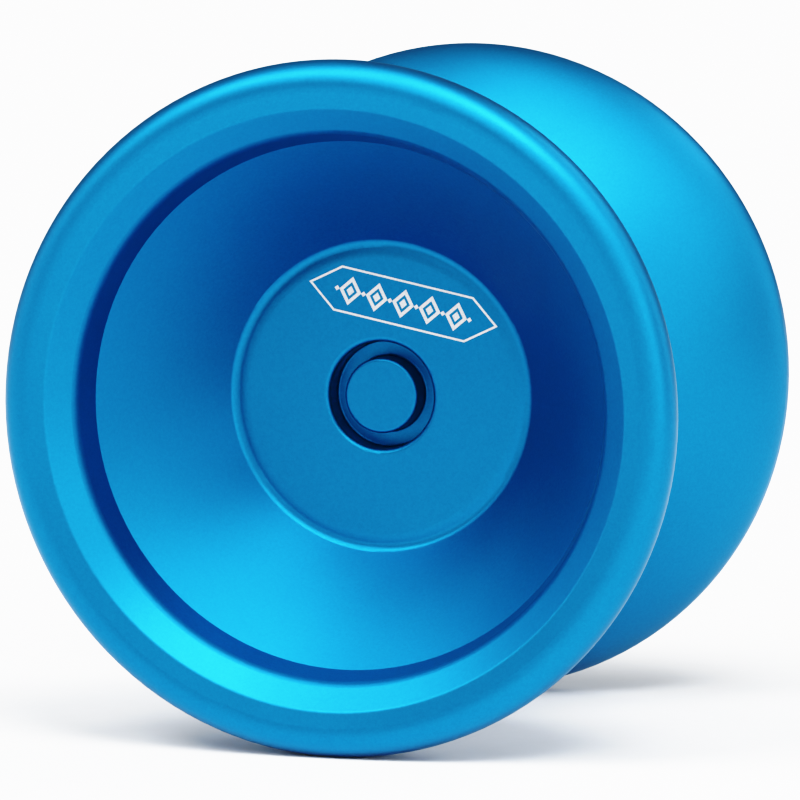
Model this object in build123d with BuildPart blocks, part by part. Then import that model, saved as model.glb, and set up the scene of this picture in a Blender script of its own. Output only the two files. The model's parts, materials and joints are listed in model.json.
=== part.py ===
from build123d import *
import os
from math import cos, pi, radians, sin, tan

# An unresponsive yo-yo. Two turned aluminium halves screw onto one threaded axle and clamp the inner
# race of a ball bearing between them. The string's loop sits on the outer race, so the halves spin
# while the loop stands still. The origin is the centre of the axle, the halves spin about Y, the front
# half is on the -Y side, and the yo-yo stands on both rims with +Z up. Millimetres.

# ---- Overall ----------------------------------------------------------------------------------------
RIM_R = 28.0              # largest radius of each half
RIM_DEPTH = 20.25         # distance of that radius from the middle plane
BEAD_R = 2.1              # rounding of the outer rim

# ---- String gap -------------------------------------------------------------------------------------
GAP = 4.5                 # width of the string gap between the two walls
HALF_GAP = GAP / 2
WALL_R = 10.3             # outer radius of the flat wall beside the gap
WALL_SLOPE = 41.0         # the catch zone leaves the wall at this angle to the wall
RIM_SLOPE = 14.0          # and meets the rim's rounding at this angle to the axis
WALL_PULL = 10.0          # how far each end's direction carries into the curve
RIM_PULL = 3.8
WALL_ROUND = 0.8

# ---- Rim face and cup -------------------------------------------------------------------------------
LAND_SLOPE = 12.0         # the narrow land inside the bead leans into the cup
CREASE_R = 24.15          # where the land turns down into the bevel
BEVEL_SLOPE = 42.0
LIP_R = 22.05             # inner edge of the bevel
LIP_ROUND = 1.5
CUP_R = 21.35             # foot of the steep step under the lip, where the cup's cone starts
CUP_DEPTH = 17.4
CONE_ROUND = 0.75
CREASE_ROUND = 0.5

# ---- Hub disc in the cup ----------------------------------------------------------------------------
HUB_DEPTH = 7.75          # front face of the hub disc
DISC_R = 11.4             # flat part of the disc
SHOULDER_R = 2.5          # rounding of the disc's edge
SHOULDER_TURN = 13.0      # the rounding stops after this many degrees
CONE_FOOT_R = 12.62
RING_OUT_R = 4.43         # ring groove around the centre
RING_IN_R = 3.1
RING_FLOOR = 5.3
RING_ROUND = 0.45
NUB_ROUND = 0.3
FLOOR_ROUND = 0.2

# ---- Bearing, size C: 6.35 x 12.7 x 4.7625 -----------------------------------------------------------
BEARING_BORE_R = 6.35 / 2
BEARING_OUT_R = 12.7 / 2
BEARING_HALF = 4.7625 / 2
RACE_CHAMFER = 0.22
BALLS = 10
BALL_R = 1.0
PITCH_R = (BEARING_BORE_R + BEARING_OUT_R) / 2
BALL_PLAY = 0.02          # space between a ball and the bottom of either groove
GROOVE_R = 1.04           # the grooves are slightly wider than the balls
INNER_LAND_R = 4.15
OUTER_LAND_R = 5.40
SHIELD_SEAT = 1.62        # the outer race steps back here to take the shield
SHIELD_SEAT_R = 5.80
SHIELD_IN_R = 4.30
SHIELD_T = 0.20
SNAP_GROOVE_R = 5.98
SNAP_IN_R = 5.50
SNAP_OUT_R = 5.94
SNAP_T = 0.24
SNAP_PLAY = 0.02
SNAP_GAP = 24.0           # degrees left open in the snap ring
FACE_PLAY = 0.01          # face-to-face play between stacked pieces
SHIELD_OUT_R = SHIELD_SEAT_R - 0.02
SNAP_MIDDLE = SHIELD_SEAT + FACE_PLAY + SHIELD_T + SNAP_PLAY + SNAP_T / 2
CAGE_IN_R = 4.46
CAGE_OUT_R = 5.08
CAGE_BACK = 1.36
CAGE_MOUTH = 0.60
POCKET_R = BALL_R + 0.06

# ---- Bearing seat in each half ----------------------------------------------------------------------
POST_R = BEARING_BORE_R - 0.015
POST_TIP = 0.45           # distance of the post's end from the middle plane
POST_CHAMFER = 0.25
SHOULDER_OUT_R = 3.95     # raised ring that touches only the inner race
SEAT_R = BEARING_OUT_R + 0.20
SEAT_FLOOR = 2.78

# ---- Response pads ----------------------------------------------------------------------------------
PAD_OUT_R = 9.5
PAD_IN_R = 7.35
PAD_T = 1.0
PAD_GROOVE_OUT_R = PAD_OUT_R + 0.10
PAD_GROOVE_IN_R = PAD_IN_R - 0.10
PAD_GROOVE_FLOOR = HALF_GAP + 1.15
PAD_ROUND = 0.25

# ---- Axle, M4 x 0.7 grub screw ----------------------------------------------------------------------
AXLE_LENGTH = 10.0
THREAD_PITCH = 0.7
CREST_R = 1.97
ROOT_R = 1.54
BORE_R = 2.01             # the tapped bores are plain, with running clearance over the crests
BORE_END = 5.55
SOCKET_FLATS = 2.0        # hexagon socket in each end
SOCKET_DEPTH = 2.0
THREAD_LENGTH = AXLE_LENGTH - 0.9
THREAD_BASE = 0.54        # width of the thread's ridge at its foot and at its crest
THREAD_CREST = 0.09
THREAD_BITE = 0.03        # the ridge starts this far inside the rod
AXLE_CHAMFER = 0.25

SIDES = {"front": -1, "rear": 1}   # the front half lies on the -Y side

os.makedirs("parts", exist_ok=True)


def at(radius, depth):
    """A point of the front half's section: radius from the axis, depth from the middle plane."""
    return (radius, -depth)


def on_bead(angle):
    """A point of the rim's rounding, at an angle from the radial direction towards the front."""
    turn = radians(angle)
    return (RIM_R - BEAD_R + BEAD_R * cos(turn), RIM_DEPTH + BEAD_R * sin(turn))


def nearest_corner(sketch, point):
    """The vertex of a sketch that lies nearest to a point."""
    return sketch.vertices().sort_by_distance(point)[0]


# ---- Section of one half -----------------------------------------------------------------------------
catch_start = (WALL_R, HALF_GAP)
catch_end = on_bead(-RIM_SLOPE)
wall_handle = (
    WALL_R + WALL_PULL * cos(radians(WALL_SLOPE)),
    HALF_GAP + WALL_PULL * sin(radians(WALL_SLOPE)),
)
rim_handle = (
    catch_end[0] - RIM_PULL * sin(radians(RIM_SLOPE)),
    catch_end[1] - RIM_PULL * cos(radians(RIM_SLOPE)),
)
land_start = on_bead(90 + LAND_SLOPE)
crease = (CREASE_R, land_start[1] - (land_start[0] - CREASE_R) * tan(radians(LAND_SLOPE)))
lip = (LIP_R, crease[1] - (CREASE_R - LIP_R) * tan(radians(BEVEL_SLOPE)))
shoulder_half = radians(SHOULDER_TURN / 2)
shoulder_mid = (
    DISC_R + SHOULDER_R * sin(shoulder_half),
    HUB_DEPTH - SHOULDER_R * (1 - cos(shoulder_half)),
)
shoulder_end = (
    DISC_R + SHOULDER_R * sin(2 * shoulder_half),
    HUB_DEPTH - SHOULDER_R * (1 - cos(2 * shoulder_half)),
)
cone_foot = (CONE_FOOT_R, shoulder_end[1] - (CONE_FOOT_R - shoulder_end[0]) * tan(2 * shoulder_half))

with BuildSketch(Plane.XY) as half_section:
    with BuildLine():
        # Tapped bore, bearing post and bearing seat, out to the gap wall.
        Polyline(
            at(0, BORE_END),
            at(BORE_R, BORE_END),
            at(BORE_R, POST_TIP),
            at(POST_R - POST_CHAMFER, POST_TIP),
            at(POST_R, POST_TIP + POST_CHAMFER),
            at(POST_R, BEARING_HALF + FACE_PLAY),
            at(SHOULDER_OUT_R, BEARING_HALF + FACE_PLAY),
            at(SHOULDER_OUT_R, SEAT_FLOOR),
            at(SEAT_R, SEAT_FLOOR),
            at(SEAT_R, HALF_GAP),
            at(PAD_GROOVE_IN_R, HALF_GAP),
            at(PAD_GROOVE_IN_R, PAD_GROOVE_FLOOR),
            at(PAD_GROOVE_OUT_R, PAD_GROOVE_FLOOR),
            at(PAD_GROOVE_OUT_R, HALF_GAP),
            at(*catch_start),
        )
        # Catch zone, rounded rim and land.
        Bezier(at(*catch_start), at(*wall_handle), at(*rim_handle), at(*catch_end))
        ThreePointArc(at(*catch_end), at(*on_bead(45)), at(*land_start))
        # Bevel, step and cone of the cup.
        Polyline(
            at(*land_start),
            at(*crease),
            at(*lip),
            at(CUP_R, CUP_DEPTH),
            at(*cone_foot),
            at(*shoulder_end),
        )
        # Hub disc with its ring groove and centre nub.
        ThreePointArc(at(*shoulder_end), at(*shoulder_mid), at(DISC_R, HUB_DEPTH))
        Polyline(
            at(DISC_R, HUB_DEPTH),
            at(RING_OUT_R, HUB_DEPTH),
            at(RING_OUT_R, RING_FLOOR),
            at(RING_IN_R, RING_FLOOR),
            at(RING_IN_R, HUB_DEPTH),
            at(0, HUB_DEPTH),
            at(0, BORE_END),
        )
    make_face()
    for point, size in (
        (at(*catch_start), WALL_ROUND),
        (at(*crease), CREASE_ROUND),
        (at(*lip), LIP_ROUND),
        (at(*cone_foot), CONE_ROUND),
        (at(RING_OUT_R, HUB_DEPTH), RING_ROUND),
        (at(RING_OUT_R, RING_FLOOR), FLOOR_ROUND),
        (at(RING_IN_R, RING_FLOOR), FLOOR_ROUND),
        (at(RING_IN_R, HUB_DEPTH), NUB_ROUND),
    ):
        fillet(nearest_corner(half_section, point), radius=size)

# ---- Halves ------------------------------------------------------------------------------------------
with BuildPart() as front_half:
    add(half_section.sketch)
    revolve(axis=Axis.Y)
front_half.part.label = "front_half"
export_step(front_half.part, "parts/front_half.step")

with BuildPart() as rear_half:
    mirror(front_half.part, about=Plane.XZ)
rear_half.part.label = "rear_half"
export_step(rear_half.part, "parts/rear_half.step")

# ---- Response pads: silicone rings set into the gap walls ---------------------------------------------
for side, sign in SIDES.items():
    with BuildPart() as pad:
        with BuildSketch(Plane.XY) as pad_section:
            with Locations(((PAD_IN_R + PAD_OUT_R) / 2, sign * (PAD_GROOVE_FLOOR - FACE_PLAY - PAD_T / 2))):
                Rectangle(PAD_OUT_R - PAD_IN_R, PAD_T)
            for radius in (PAD_IN_R, PAD_OUT_R):
                fillet(nearest_corner(pad_section, (radius, 0)), radius=PAD_ROUND)
        revolve(axis=Axis.Y)
    pad.part.label = f"{side}_pad"
    export_step(pad.part, f"parts/{side}_pad.step")

# ---- Axle: a threaded rod with a hexagon socket in each end --------------------------------------------
with BuildPart() as axle:
    with BuildSketch(Plane.XY):
        with BuildLine():
            Polyline(
                (0, -AXLE_LENGTH / 2),
                (ROOT_R - AXLE_CHAMFER, -AXLE_LENGTH / 2),
                (ROOT_R, -AXLE_LENGTH / 2 + AXLE_CHAMFER),
                (ROOT_R, AXLE_LENGTH / 2 - AXLE_CHAMFER),
                (ROOT_R - AXLE_CHAMFER, AXLE_LENGTH / 2),
                (0, AXLE_LENGTH / 2),
                close=True,
            )
        make_face()
    revolve(axis=Axis.Y)
    with BuildLine() as thread_line:
        Helix(
            pitch=THREAD_PITCH,
            height=THREAD_LENGTH,
            radius=ROOT_R,
            center=(0, -THREAD_LENGTH / 2, 0),
            direction=(0, 1, 0),
        )
    start = thread_line.line @ 0
    with BuildSketch(Plane(origin=start, x_dir=(start.X, 0, start.Z), z_dir=thread_line.line % 0)):
        with BuildLine():
            Polyline(
                (-THREAD_BITE, -THREAD_BASE / 2),
                (CREST_R - ROOT_R, -THREAD_CREST / 2),
                (CREST_R - ROOT_R, THREAD_CREST / 2),
                (-THREAD_BITE, THREAD_BASE / 2),
                close=True,
            )
        make_face()
    sweep(path=thread_line.line, is_frenet=True)
    for end in (-1, 1):
        with BuildSketch(Plane(origin=(0, end * AXLE_LENGTH / 2, 0), x_dir=(1, 0, 0), z_dir=(0, end, 0))):
            RegularPolygon(radius=SOCKET_FLATS / 2, side_count=6, major_radius=False)
        extrude(amount=-SOCKET_DEPTH, mode=Mode.SUBTRACT)
axle.part.label = "axle"
export_step(axle.part, "parts/axle.step")

# ---- Bearing: inner race ----------------------------------------------------------------------------
with BuildPart() as inner_race:
    with BuildSketch(Plane.XY) as inner_section:
        with Locations(((BEARING_BORE_R + INNER_LAND_R) / 2, 0)):
            Rectangle(INNER_LAND_R - BEARING_BORE_R, 2 * BEARING_HALF)
        chamfer(inner_section.vertices().group_by(Axis.X)[0], length=RACE_CHAMFER)
        with Locations((PITCH_R - BALL_R - BALL_PLAY + GROOVE_R, 0)):
            Circle(GROOVE_R, mode=Mode.SUBTRACT)
    revolve(axis=Axis.Y)
inner_race.part.label = "inner_race"
export_step(inner_race.part, "parts/inner_race.step")

# ---- Bearing: outer race, stepped inside at both ends for a shield and its snap ring ----------------
with BuildPart() as outer_race:
    with BuildSketch(Plane.XY) as outer_section:
        with Locations(((OUTER_LAND_R + BEARING_OUT_R) / 2, 0)):
            Rectangle(BEARING_OUT_R - OUTER_LAND_R, 2 * BEARING_HALF)
        chamfer(outer_section.vertices().group_by(Axis.X)[-1], length=RACE_CHAMFER)
        with Locations((PITCH_R + BALL_R + BALL_PLAY - GROOVE_R, 0)):
            Circle(GROOVE_R, mode=Mode.SUBTRACT)
        for sign in SIDES.values():
            with Locations((OUTER_LAND_R, sign * (SHIELD_SEAT + BEARING_HALF) / 2)):
                Rectangle(2 * (SHIELD_SEAT_R - OUTER_LAND_R), BEARING_HALF - SHIELD_SEAT, mode=Mode.SUBTRACT)
            with Locations((OUTER_LAND_R, sign * SNAP_MIDDLE)):
                Rectangle(2 * (SNAP_GROOVE_R - OUTER_LAND_R), SNAP_T + 2 * SNAP_PLAY, mode=Mode.SUBTRACT)
    revolve(axis=Axis.Y)
outer_race.part.label = "outer_race"
export_step(outer_race.part, "parts/outer_race.step")

# ---- Bearing: crown cage, closed at the back and open at the mouths of its pockets ------------------
with BuildPart() as ball_cage:
    with BuildSketch(Plane.XZ.offset(CAGE_BACK)):
        Circle(CAGE_OUT_R)
        Circle(CAGE_IN_R, mode=Mode.SUBTRACT)
    extrude(amount=-(CAGE_BACK + CAGE_MOUTH))
    with Locations(Plane.XZ):
        with PolarLocations(PITCH_R, BALLS):
            Sphere(POCKET_R, mode=Mode.SUBTRACT)
ball_cage.part.label = "ball_cage"
export_step(ball_cage.part, "parts/ball_cage.step")

# ---- Bearing: balls ---------------------------------------------------------------------------------
for number in range(BALLS):
    turn = 2 * pi * number / BALLS
    with BuildPart() as ball:
        with Locations((PITCH_R * cos(turn), 0, PITCH_R * sin(turn))):
            Sphere(BALL_R)
    ball.part.label = f"ball_{number + 1}"
    export_step(ball.part, f"parts/ball_{number + 1}.step")

# ---- Bearing: shields and the snap rings that hold them ---------------------------------------------
for side, sign in SIDES.items():
    with BuildPart() as shield:
        with BuildSketch(Plane.XY):
            shield_middle = sign * (SHIELD_SEAT + FACE_PLAY + SHIELD_T / 2)
            with Locations(((SHIELD_IN_R + SHIELD_OUT_R) / 2, shield_middle)):
                Rectangle(SHIELD_OUT_R - SHIELD_IN_R, SHIELD_T)
        revolve(axis=Axis.Y)
    shield.part.label = f"{side}_shield"
    export_step(shield.part, f"parts/{side}_shield.step")

    with BuildPart() as snap_ring:
        with BuildSketch(Plane.XY):
            with Locations(((SNAP_IN_R + SNAP_OUT_R) / 2, sign * SNAP_MIDDLE)):
                Rectangle(SNAP_OUT_R - SNAP_IN_R, SNAP_T)
        revolve(axis=Axis.Y, revolution_arc=360 - SNAP_GAP)
    snap_ring.part.label = f"{side}_snap_ring"
    export_step(snap_ring.part, f"parts/{side}_snap_ring.step")
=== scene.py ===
import json
import math

import bmesh
import bpy
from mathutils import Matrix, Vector


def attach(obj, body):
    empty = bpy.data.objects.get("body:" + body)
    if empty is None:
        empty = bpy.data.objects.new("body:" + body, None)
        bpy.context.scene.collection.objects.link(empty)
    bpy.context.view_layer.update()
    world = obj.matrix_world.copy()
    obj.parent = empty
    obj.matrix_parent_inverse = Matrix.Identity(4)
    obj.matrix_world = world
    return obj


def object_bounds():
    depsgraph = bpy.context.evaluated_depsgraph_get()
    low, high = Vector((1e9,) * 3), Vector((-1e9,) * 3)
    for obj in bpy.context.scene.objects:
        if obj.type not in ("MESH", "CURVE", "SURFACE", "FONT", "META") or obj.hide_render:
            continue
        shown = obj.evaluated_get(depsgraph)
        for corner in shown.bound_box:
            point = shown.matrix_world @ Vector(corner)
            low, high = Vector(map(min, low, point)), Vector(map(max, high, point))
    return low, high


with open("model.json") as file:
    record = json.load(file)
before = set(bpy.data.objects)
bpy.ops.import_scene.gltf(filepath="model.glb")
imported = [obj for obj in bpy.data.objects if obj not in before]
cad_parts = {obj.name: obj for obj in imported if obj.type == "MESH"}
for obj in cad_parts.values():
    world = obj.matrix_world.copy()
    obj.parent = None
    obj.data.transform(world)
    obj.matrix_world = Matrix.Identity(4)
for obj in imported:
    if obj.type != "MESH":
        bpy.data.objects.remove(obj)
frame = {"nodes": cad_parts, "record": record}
cad_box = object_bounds()

# A yo-yo of two anodised halves round a ball bearing, on white paper before a white backdrop.
# Everything is in metres. The axle lies along Y, the front half is on the -Y side, and the yo-yo
# stands on both rims.

MM = 0.001
scene = bpy.context.scene


# ---- Small helpers for shader trees --------------------------------------------------------------
def add_node(tree, kind, settings=None, **values):
    """Adds a shader node. settings are its properties, and values are its inputs by name."""
    made = tree.nodes.new(kind)
    for name, value in (settings or {}).items():
        setattr(made, name, value)
    for name, value in values.items():
        socket = made.inputs[name.replace("_", " ")]
        if isinstance(value, bpy.types.NodeSocket):
            tree.links.new(value, socket)
        else:
            socket.default_value = value
    return made


def arithmetic(tree, operation, *terms, clamp=False):
    """A Math node over one, two or three terms, each a number or a socket."""
    made = tree.nodes.new("ShaderNodeMath")
    made.operation = operation
    made.use_clamp = clamp
    for socket, term in zip(made.inputs, terms):
        if isinstance(term, bpy.types.NodeSocket):
            tree.links.new(term, socket)
        else:
            socket.default_value = term
    return made.outputs[0]


def spread(tree, value, low, high, to_low, to_high):
    """Maps a value from one span to another, held at both ends."""
    made = tree.nodes.new("ShaderNodeMapRange")
    tree.links.new(value, made.inputs["Value"])
    for name, number in (("From Min", low), ("From Max", high), ("To Min", to_low), ("To Max", to_high)):
        made.inputs[name].default_value = number
    return made.outputs["Result"]


def blend_colours(tree, share, first, second):
    """Mixes two colours by a share between 0 and 1."""
    made = tree.nodes.new("ShaderNodeMix")
    made.data_type = "RGBA"
    tree.links.new(share, made.inputs["Factor"])
    made.inputs["A"].default_value = (*first, 1)
    made.inputs["B"].default_value = (*second, 1)
    return made.outputs["Result"]


def effect_group(name, inputs, outputs):
    """An empty shader group with named float inputs and outputs, and its two end nodes."""
    group = bpy.data.node_groups.new(name, "ShaderNodeTree")
    for label, value in inputs.items():
        socket = group.interface.new_socket(name=label, in_out="INPUT", socket_type="NodeSocketFloat")
        socket.default_value = value
    for label in outputs:
        group.interface.new_socket(name=label, in_out="OUTPUT", socket_type="NodeSocketFloat")
    return group, group.nodes.new("NodeGroupInput"), group.nodes.new("NodeGroupOutput")


def place_effect(tree, group, **values):
    """Puts a group into a material with its own values."""
    made = tree.nodes.new("ShaderNodeGroup")
    made.node_tree = group
    for name, value in values.items():
        made.inputs[name.replace("_", " ")].default_value = value
    return made


def own_place(tree):
    """The point in the piece's own frame, which moves with it."""
    return tree.nodes.new("ShaderNodeTexCoord").outputs["Object"]


# ---- Effects that several finishes share ---------------------------------------------------------
FINE_LAYER_SHARE = 0.6
BREAK_UP_SCALE = 700.0


def make_fine_grain():
    """Even, pitted grain, as from bead blasting or a mould, with a second, finer layer."""
    group, given, result = effect_group("fine grain", {"Scale": 4000.0, "Finer": 2.6},
                                        ["Fleck", "Height"])
    place = own_place(group)
    coarse = add_node(group, "ShaderNodeTexNoise", Vector=place, Scale=given.outputs["Scale"], Detail=2.0,
                      Roughness=0.6)
    fine_scale = arithmetic(group, "MULTIPLY", given.outputs["Scale"], given.outputs["Finer"])
    fine = add_node(group, "ShaderNodeTexNoise", Vector=place, Scale=fine_scale, Detail=1.0, Roughness=0.5)
    fine_part = arithmetic(group, "MULTIPLY", fine.outputs["Fac"], FINE_LAYER_SHARE)
    both = arithmetic(group, "ADD", coarse.outputs["Fac"], fine_part)
    group.links.new(both, result.inputs["Height"])
    group.links.new(spread(group, both, 0.55, 1.05, 0.0, 1.0), result.inputs["Fleck"])
    return group


def make_handling():
    """What handling leaves: broad, soft-edged smears."""
    group, given, result = effect_group("handling", {"Smear Scale": 60.0}, ["Smears"])
    smears = add_node(group, "ShaderNodeTexNoise", Vector=own_place(group), Detail=3.0,
                      Scale=given.outputs["Smear Scale"], Roughness=0.55, Distortion=0.4)
    group.links.new(spread(group, smears.outputs["Fac"], 0.35, 0.7, 0.0, 1.0), result.inputs["Smears"])
    return group


def make_lathe_rings():
    """Fine rings round the axle, as a turning tool or a grinding wheel leaves."""
    group, given, result = effect_group("lathe rings", {"Lines": 9000.0, "Waver": 0.3}, ["Rings", "Height"])
    place = add_node(group, "ShaderNodeSeparateXYZ", Vector=own_place(group))
    squares = arithmetic(group, "ADD", arithmetic(group, "POWER", place.outputs["X"], 2.0),
                         arithmetic(group, "POWER", place.outputs["Z"], 2.0))
    radius = arithmetic(group, "SQRT", squares)
    along = arithmetic(group, "ADD", radius, place.outputs["Y"])
    lines = add_node(group, "ShaderNodeTexNoise", {"noise_dimensions": "1D"}, Detail=3.0, Roughness=0.7,
                     Scale=given.outputs["Lines"], W=along)
    broken = add_node(group, "ShaderNodeTexNoise", Vector=own_place(group), Scale=BREAK_UP_SCALE,
                      Detail=2.0)
    mixed = arithmetic(group, "ADD", lines.outputs["Fac"],
                       arithmetic(group, "MULTIPLY", broken.outputs["Fac"], given.outputs["Waver"]))
    group.links.new(mixed, result.inputs["Height"])
    group.links.new(spread(group, mixed, 0.4, 0.9, 0.0, 1.0), result.inputs["Rings"])
    return group


FINE_GRAIN = make_fine_grain()
HANDLING = make_handling()
LATHE_RINGS = make_lathe_rings()


# ---- Finishes ------------------------------------------------------------------------------------
def finish_tree(name):
    """A new material, its tree and its Principled shader."""
    made = bpy.data.materials.new(name)
    made.use_nodes = True
    shader = made.node_tree.nodes["Principled BSDF"]
    return made, made.node_tree, shader


def relief(tree, shader, height, distance, strength):
    """Feeds a height to the shader's normal through a Bump node."""
    bump = add_node(tree, "ShaderNodeBump", Height=height, Distance=distance, Strength=strength)
    tree.links.new(bump.outputs["Normal"], shader.inputs["Normal"])


DYE_DEEP = (0.0070, 0.130, 0.288)
DYE_BRIGHT = (0.0090, 0.152, 0.328)


def anodised_finish():
    """Bead-blasted aluminium under a clear blue dye."""
    made, tree, shader = finish_tree("anodised blue")
    grain = place_effect(tree, FINE_GRAIN, Scale=4200.0)
    marks = place_effect(tree, HANDLING, Smear_Scale=70.0)
    colour = blend_colours(tree, grain.outputs["Fleck"], DYE_DEEP, DYE_BRIGHT)
    tree.links.new(colour, shader.inputs["Base Color"])
    shader.inputs["Metallic"].default_value = 1.0
    tree.links.new(spread(tree, marks.outputs["Smears"], 0.0, 1.0, 0.44, 0.48), shader.inputs["Roughness"])
    relief(tree, shader, grain.outputs["Height"], 0.00002, 0.25)
    return made


def silicone_finish():
    """Moulded white silicone, slightly see-through, with smears where the string rubs."""
    made, tree, shader = finish_tree("white silicone")
    grain = place_effect(tree, FINE_GRAIN, Scale=2200.0)
    marks = place_effect(tree, HANDLING, Smear_Scale=260.0)
    tree.links.new(blend_colours(tree, marks.outputs["Smears"], (0.80, 0.80, 0.77), (0.68, 0.69, 0.68)),
                   shader.inputs["Base Color"])
    shader.inputs["Subsurface Weight"].default_value = 0.25
    shader.inputs["Subsurface Radius"].default_value = (0.6, 0.5, 0.45)
    shader.inputs["Subsurface Scale"].default_value = 0.0008
    tree.links.new(spread(tree, grain.outputs["Fleck"], 0.0, 1.0, 0.48, 0.66), shader.inputs["Roughness"])
    relief(tree, shader, grain.outputs["Height"], 0.00002, 0.4)
    return made


def steel_finish(name, bright, dull, smooth, rough, lines=9000.0, depth=0.000004, waver=0.3):
    """Turned or ground steel: rings round the axle, and a thin film of oil in smears."""
    made, tree, shader = finish_tree(name)
    rings = place_effect(tree, LATHE_RINGS, Lines=lines, Waver=waver)
    marks = place_effect(tree, HANDLING, Smear_Scale=420.0)
    tree.links.new(blend_colours(tree, rings.outputs["Rings"], dull, bright), shader.inputs["Base Color"])
    shader.inputs["Metallic"].default_value = 1.0
    tree.links.new(spread(tree, marks.outputs["Smears"], 0.0, 1.0, smooth, rough), shader.inputs["Roughness"])
    relief(tree, shader, rings.outputs["Height"], depth, 0.3)
    return made


def laser_finish():
    """Pale bare metal where a laser has burnt the dye away."""
    made, tree, shader = finish_tree("laser mark")
    grain = place_effect(tree, FINE_GRAIN, Scale=9000.0)
    tree.links.new(blend_colours(tree, grain.outputs["Fleck"], (0.50, 0.52, 0.52), (0.78, 0.79, 0.78)),
                   shader.inputs["Base Color"])
    shader.inputs["Metallic"].default_value = 0.35
    tree.links.new(spread(tree, grain.outputs["Fleck"], 0.0, 1.0, 0.5, 0.7), shader.inputs["Roughness"])
    relief(tree, shader, grain.outputs["Height"], 0.00001, 0.4)
    return made


ANODISED = anodised_finish()
SILICONE = silicone_finish()
AXLE_STEEL = steel_finish("axle steel", (0.50, 0.50, 0.51), (0.36, 0.36, 0.37), 0.28, 0.40)
RACE_STEEL = steel_finish("race steel", (0.72, 0.72, 0.73), (0.58, 0.58, 0.60), 0.16, 0.26, lines=14000.0)
CAGE_STEEL = steel_finish("cage steel", (0.60, 0.58, 0.53), (0.47, 0.45, 0.41), 0.30, 0.42, lines=5000.0)
BALL_STEEL = steel_finish("ball steel", (0.80, 0.80, 0.82), (0.74, 0.74, 0.76), 0.05, 0.10, depth=0.000001)
SHIELD_STEEL = steel_finish("shield steel", (0.64, 0.64, 0.66), (0.52, 0.52, 0.54), 0.28, 0.40, lines=6000.0)
WIRE_STEEL = steel_finish("wire steel", (0.48, 0.48, 0.49), (0.36, 0.36, 0.37), 0.30, 0.42)
LASER_MARK = laser_finish()

FINISH_OF_SLOT = {
    "anodised_aluminium": ANODISED,
    "silicone": SILICONE,
    "axle_steel": AXLE_STEEL,
    "bearing_steel": RACE_STEEL,
    "cage_steel": CAGE_STEEL,
    "ball_steel": BALL_STEEL,
    "shield_steel": SHIELD_STEEL,
    "spring_wire": WIRE_STEEL,
}
slot_of_node = {part["node"]: part["material_slot"] for part in frame["record"]["subparts"]}
for name, part in frame["nodes"].items():
    part.data.materials.clear()
    part.data.materials.append(FINISH_OF_SLOT[slot_of_node[name]])


# ---- Mark on the front hub disc: a plain hexagonal bar with a row of diamonds --------------------
HUB_FACE_Y = -7.75 * MM
MARK_CENTRE = (1.9 * MM, 7.6 * MM)
MARK_TILT = math.radians(-12.0)
MARK_PROUD = 0.012 * MM
MARK_SINK = 0.02 * MM
LINE_WIDTH = 0.17 * MM
DIAMOND_LINE_WIDTH = LINE_WIDTH * 1.6

# Half sizes of the bar, to its points, its shoulders and its long edges.
BAR_TO_POINT = 8.2 * MM
BAR_TO_SHOULDER = 5.7 * MM
BAR_TO_EDGE = 1.9 * MM

# The row of diamonds: the step along it, and each shape's half width and half height.
DIAMOND_STEP = 2.3 * MM
DIAMOND = (0.95 * MM, 1.2 * MM)
DIAMOND_HEART = (0.33 * MM, 0.42 * MM)
DOT_BETWEEN = (0.22 * MM, 0.22 * MM)


def mark_point(across, up):
    """X and Z of a point that is given in the mark's own slanted frame."""
    c, s = math.cos(MARK_TILT), math.sin(MARK_TILT)
    return (MARK_CENTRE[0] + c * across - s * up, MARK_CENTRE[1] + s * across + c * up)


def corner_rings(mesh, corners):
    """The corners as two rings of points, one sunk in the hub face and one just proud of it."""
    flat = [mark_point(*corner) for corner in corners]
    low = [mesh.verts.new((x, HUB_FACE_Y + MARK_SINK, z)) for x, z in flat]
    high = [mesh.verts.new((x, HUB_FACE_Y - MARK_PROUD, z)) for x, z in flat]
    return low, high


def raise_plate(mesh, corners):
    """Adds a thin solid plate with the given corners."""
    low, high = corner_rings(mesh, corners)
    mesh.faces.new(high)
    mesh.faces.new(list(reversed(low)))
    for i in range(len(corners)):
        j = (i + 1) % len(corners)
        mesh.faces.new((low[i], low[j], high[j], high[i]))


def raise_frame(mesh, corners, width):
    """Adds a closed line of even width that runs inside the given corners."""
    count = len(corners)
    inner = []
    for i in range(count):
        before, here, after = (Vector(corners[(i + k) % count]) for k in (-1, 0, 1))
        first = (here - before).normalized()
        second = (after - here).normalized()
        normals = [Vector((-d.y, d.x)) for d in (first, second)]
        bisector = (normals[0] + normals[1]).normalized()
        inner.append(here + bisector * (width / max(0.2, bisector.dot(normals[0]))))
    low_out, high_out = corner_rings(mesh, corners)
    low_in, high_in = corner_rings(mesh, inner)
    for i in range(count):
        j = (i + 1) % count
        mesh.faces.new((high_out[i], high_out[j], high_in[j], high_in[i]))
        mesh.faces.new((low_in[i], low_in[j], low_out[j], low_out[i]))
        mesh.faces.new((low_out[i], low_out[j], high_out[j], high_out[i]))
        mesh.faces.new((high_in[i], high_in[j], low_in[j], low_in[i]))


def diamond(across, half_width, half_height):
    """Corners of a diamond in the mark's frame."""
    return [(across - half_width, 0), (across, -half_height), (across + half_width, 0), (across, half_height)]


def object_from(mesh, name, finish):
    """Turns a finished mesh into a linked object in one finish."""
    data = bpy.data.meshes.new(name)
    mesh.to_mesh(data)
    mesh.free()
    made = bpy.data.objects.new(name, data)
    scene.collection.objects.link(made)
    data.materials.append(finish)
    return made


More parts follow.
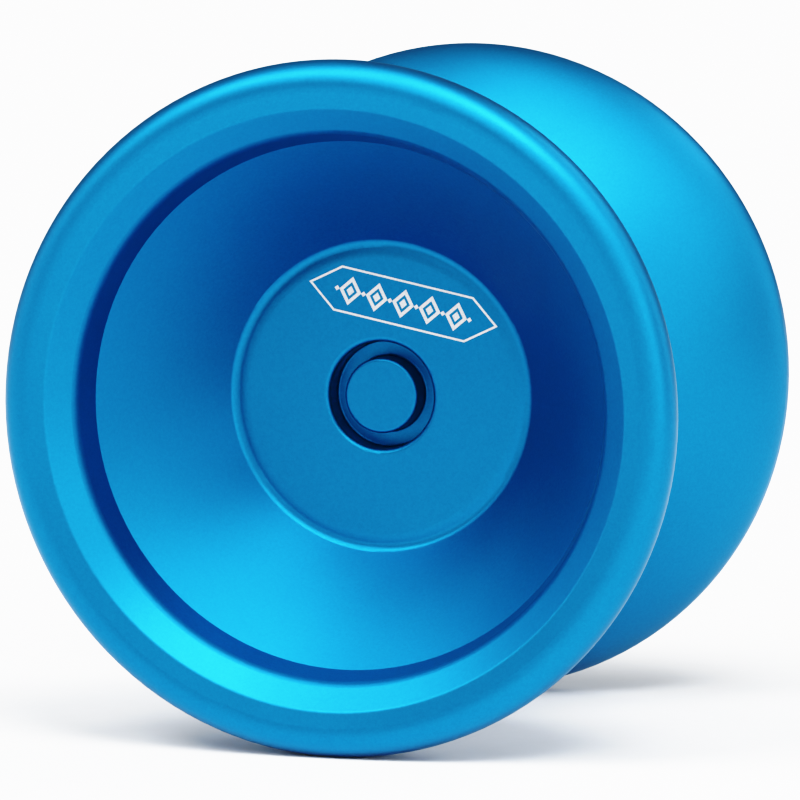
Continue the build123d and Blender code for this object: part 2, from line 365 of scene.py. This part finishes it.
def make_hub_mark():
    """The bar's outline, five framed diamonds with a heart, and the dots beside them."""
    mesh = bmesh.new()
    bar = [(-BAR_TO_POINT, 0), (-BAR_TO_SHOULDER, -BAR_TO_EDGE), (BAR_TO_SHOULDER, -BAR_TO_EDGE),
           (BAR_TO_POINT, 0), (BAR_TO_SHOULDER, BAR_TO_EDGE), (-BAR_TO_SHOULDER, BAR_TO_EDGE)]
    raise_frame(mesh, bar, LINE_WIDTH)
    for step in range(-2, 3):
        raise_frame(mesh, diamond(step * DIAMOND_STEP, *DIAMOND), DIAMOND_LINE_WIDTH)
        raise_plate(mesh, diamond(step * DIAMOND_STEP, *DIAMOND_HEART))
    for step in range(-3, 3):
        raise_plate(mesh, diamond((step + 0.5) * DIAMOND_STEP, *DOT_BETWEEN))
    bmesh.ops.recalc_face_normals(mesh, faces=mesh.faces)
    made = object_from(mesh, "hub_mark", LASER_MARK)
    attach(made, "front_body")


make_hub_mark()


# ---- Studio: white paper, a white backdrop, and broad soft lamps ---------------------------------
FLOOR_Z = cad_box[0].z
FLOOR_RADIUS = 6.0
PAPER_WHITE = (0.770, 0.780, 0.790)
PAPER_MOTTLE = (0.750, 0.760, 0.770)
BACKDROP_RADIUS = 5.8
BACKDROP_COLOUR = (0.99, 0.995, 1.0, 1)
BACKDROP_GLOW = 2.0
AIR_COLOUR = (0.9, 0.95, 1.0, 1)
AIR_GLOW = 0.16
LAMP_WIDTH = math.radians(24.0)


def paper_finish():
    """Matt white paper with a faint mottle."""
    made, tree, shader = finish_tree("studio paper")
    grain = place_effect(tree, FINE_GRAIN, Scale=300.0)
    tree.links.new(blend_colours(tree, grain.outputs["Fleck"], PAPER_MOTTLE, PAPER_WHITE),
                   shader.inputs["Base Color"])
    shader.inputs["Roughness"].default_value = 0.9
    shader.inputs["Specular IOR Level"].default_value = 0.2
    return made


def backdrop_finish():
    """A surface that glows evenly white."""
    made, tree, shader = finish_tree("studio backdrop")
    shader.inputs["Base Color"].default_value = (0, 0, 0, 1)
    shader.inputs["Roughness"].default_value = 1.0
    shader.inputs["Specular IOR Level"].default_value = 0.0
    shader.inputs["Emission Color"].default_value = BACKDROP_COLOUR
    shader.inputs["Emission Strength"].default_value = BACKDROP_GLOW
    return made


def make_floor():
    """A flat round sheet of paper under both rims."""
    mesh = bmesh.new()
    bmesh.ops.create_circle(mesh, cap_ends=True, segments=96, radius=FLOOR_RADIUS)
    made = object_from(mesh, "paper_floor", paper_finish())
    made.location = (0, 0, FLOOR_Z)


def make_backdrop():
    """A white shell round the set. Only the camera sees it, so it lights nothing."""
    mesh = bmesh.new()
    bmesh.ops.create_uvsphere(mesh, u_segments=64, v_segments=32, radius=BACKDROP_RADIUS)
    bmesh.ops.reverse_faces(mesh, faces=mesh.faces)
    made = object_from(mesh, "studio_backdrop", backdrop_finish())
    for ray in ("diffuse", "glossy", "transmission", "volume_scatter", "shadow"):
        setattr(made, "visible_" + ray, False)


make_floor()
make_backdrop()


def add_lamp(name, azimuth, elevation, brightness):
    """A far, broad lamp. Azimuth 0 is the front, and 90 is +X. Brightness is that of its face."""
    turn, rise = math.radians(azimuth), math.radians(elevation)
    towards = Vector((math.sin(turn) * math.cos(rise), -math.cos(turn) * math.cos(rise), math.sin(rise)))
    data = bpy.data.lights.new(name, "SUN")
    data.angle = LAMP_WIDTH
    data.energy = brightness * 2 * math.pi * (1 - math.cos(LAMP_WIDTH / 2))
    made = bpy.data.objects.new(name, data)
    scene.collection.objects.link(made)
    made.rotation_euler = towards.to_track_quat("Z", "Y").to_euler()


# Name, azimuth and elevation in degrees, and brightness of each lamp.
LAMPS = (
    ("front box", 30, 54, 19.0),
    ("left front box", 330, 52, 11.5),
    ("left box", 300, 52, 8.5),
    ("right box", 62, 51, 5.0),
    ("back box", 128, 48, 6.0),
    ("overhead box", 0, 74, 11.5),
    ("front strip", 0, 32, 4.5),
    ("left strip", 297, 31, 3.2),
    ("right strip", 75, 32, 3.2),
    ("right back strip", 108, 31, 2.2),
    ("low front box", 32, 10, 2.3),
    ("low right box", 58, 12, 5.6),
    ("low back box", 118, 12, 3.4),
    ("low left box", 270, 13, 2.4),
    ("low left front box", 300, 12, 1.6),
)
for lamp in LAMPS:
    add_lamp(*lamp)

world = bpy.data.worlds.new("studio air")
scene.world = world
world.use_nodes = True
air = world.node_tree.nodes["Background"]
air.inputs["Color"].default_value = AIR_COLOUR
air.inputs["Strength"].default_value = AIR_GLOW


# ---- Camera and tone -----------------------------------------------------------------------------
CAMERA_AZIMUTH = math.radians(16.24)
CAMERA_ELEVATION = math.radians(5.36)
CAMERA_DISTANCE = 0.473
CAMERA_LENS = 255.56
SENSOR_WIDTH = 36.0
NEAREST_SEEN = 0.01
FARTHEST_SEEN = 20.0

# How far the aim point stands off the middle of the yo-yo, as the camera sees it.
AIM_RIGHT = -0.000603
AIM_UP = -0.001064


def make_camera():
    """A long lens, turned a little to the yo-yo's right and looking slightly down."""
    back = Vector((
        math.sin(CAMERA_AZIMUTH) * math.cos(CAMERA_ELEVATION),
        -math.cos(CAMERA_AZIMUTH) * math.cos(CAMERA_ELEVATION),
        math.sin(CAMERA_ELEVATION),
    ))
    right = Vector((math.cos(CAMERA_AZIMUTH), math.sin(CAMERA_AZIMUTH), 0))
    up = back.cross(right)
    aim = right * AIM_RIGHT + up * AIM_UP
    place = back * CAMERA_DISTANCE
    data = bpy.data.cameras.new("camera")
    data.lens = CAMERA_LENS
    data.sensor_width = SENSOR_WIDTH
    data.clip_start = NEAREST_SEEN
    data.clip_end = FARTHEST_SEEN
    made = bpy.data.objects.new("camera", data)
    scene.collection.objects.link(made)
    made.location = place
    made.rotation_euler = (aim - place).to_track_quat("-Z", "Y").to_euler()
    scene.camera = made


make_camera()

# Each pair is a brightness in the scene and the light it is shown as. Bright lamps on a deep dye
# reach well past 1, so the curve rolls off slowly up to its top.
TONE_TOP = 8.0
TONE = [(0.0, 0.0), (0.03, 0.011), (0.065, 0.034), (0.1, 0.077), (0.15, 0.148), (0.21, 0.222), (0.28, 0.31),
        (0.36, 0.405), (0.49, 0.525), (0.635, 0.637), (0.8, 0.75), (1.08, 0.868), (1.5, 0.945), (2.2, 0.978)]
scene.view_settings.view_transform = "Standard"
scene.view_settings.look = "None"
scene.view_settings.use_curve_mapping = True
tone_curve = scene.view_settings.curve_mapping
tone_curve.white_level = (TONE_TOP, TONE_TOP, TONE_TOP)
for curve in tone_curve.curves[:3]:
    for light, shown in TONE[1:]:
        curve.points.new(light / TONE_TOP, shown)
tone_curve.update()
